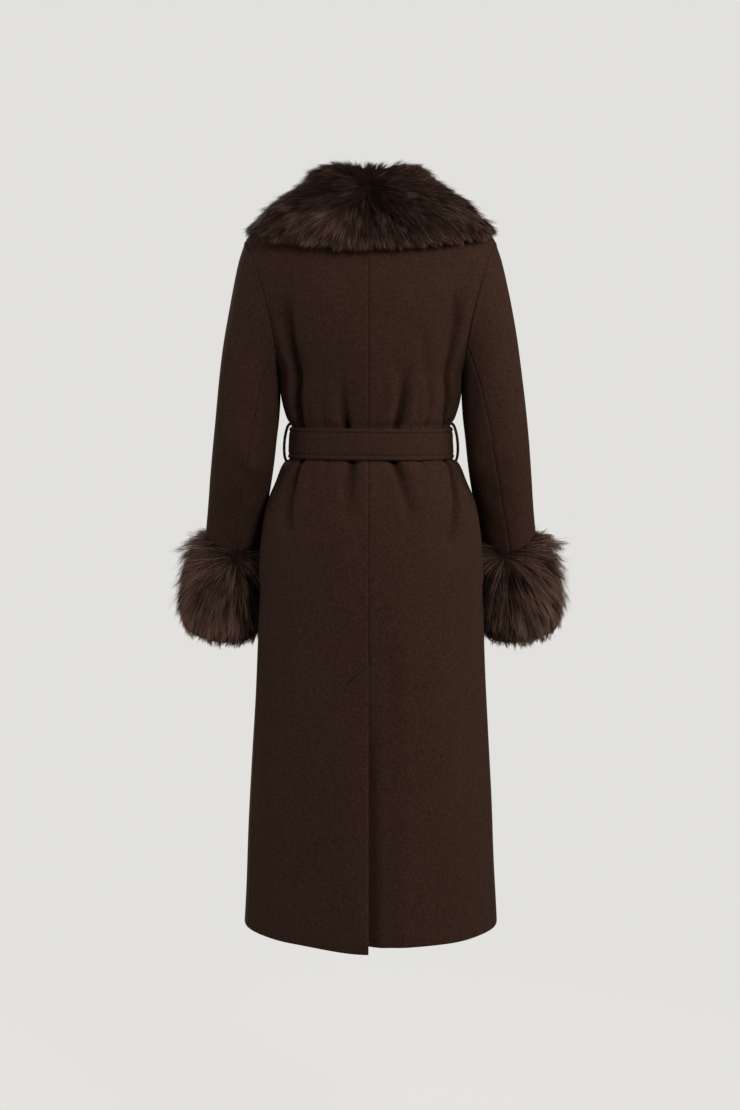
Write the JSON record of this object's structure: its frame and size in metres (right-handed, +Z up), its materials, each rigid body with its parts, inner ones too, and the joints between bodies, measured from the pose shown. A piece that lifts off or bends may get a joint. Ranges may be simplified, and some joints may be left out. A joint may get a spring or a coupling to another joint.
{
  "type": "wool coat with fur collar and cuffs",
  "caption": "Long belted wool coat in its worn, hollow shape, with a wide fur shawl collar, fur cuffs, two-piece sleeves and a back vent.",
  "frame": {"origin": "midway between the neck ends of the two shoulder seams, where the wearer's shoulders hold the coat up", "axes": "+Z up, the coat's front looks along -Y, the wearer's left is +X"},
  "size_m": [0.626, 0.3378, 1.2255],
  "materials": {
    "wool": "dark brown felted wool cloth, soft nap",
    "fur": "dark brown long-haired fur",
    "thread": "dark brown twisted thread"
  },
  "bodies": {
    "root": {"back_left": "wool", "back_right": "wool", "front_left": "wool", "front_right": "wool", "sleeve_left_upper": "wool", "sleeve_left_under": "wool", "sleeve_right_upper": "wool", "sleeve_right_under": "wool", "belt_band": "wool", "belt_knot": "wool", "belt_tail_left": "wool", "belt_tail_right": "wool", "fur_collar": "fur", "fur_cuff_left": "fur", "fur_cuff_right": "fur", "belt_loop_left": "thread", "belt_loop_right": "thread"}
  },
  "joints": []
}
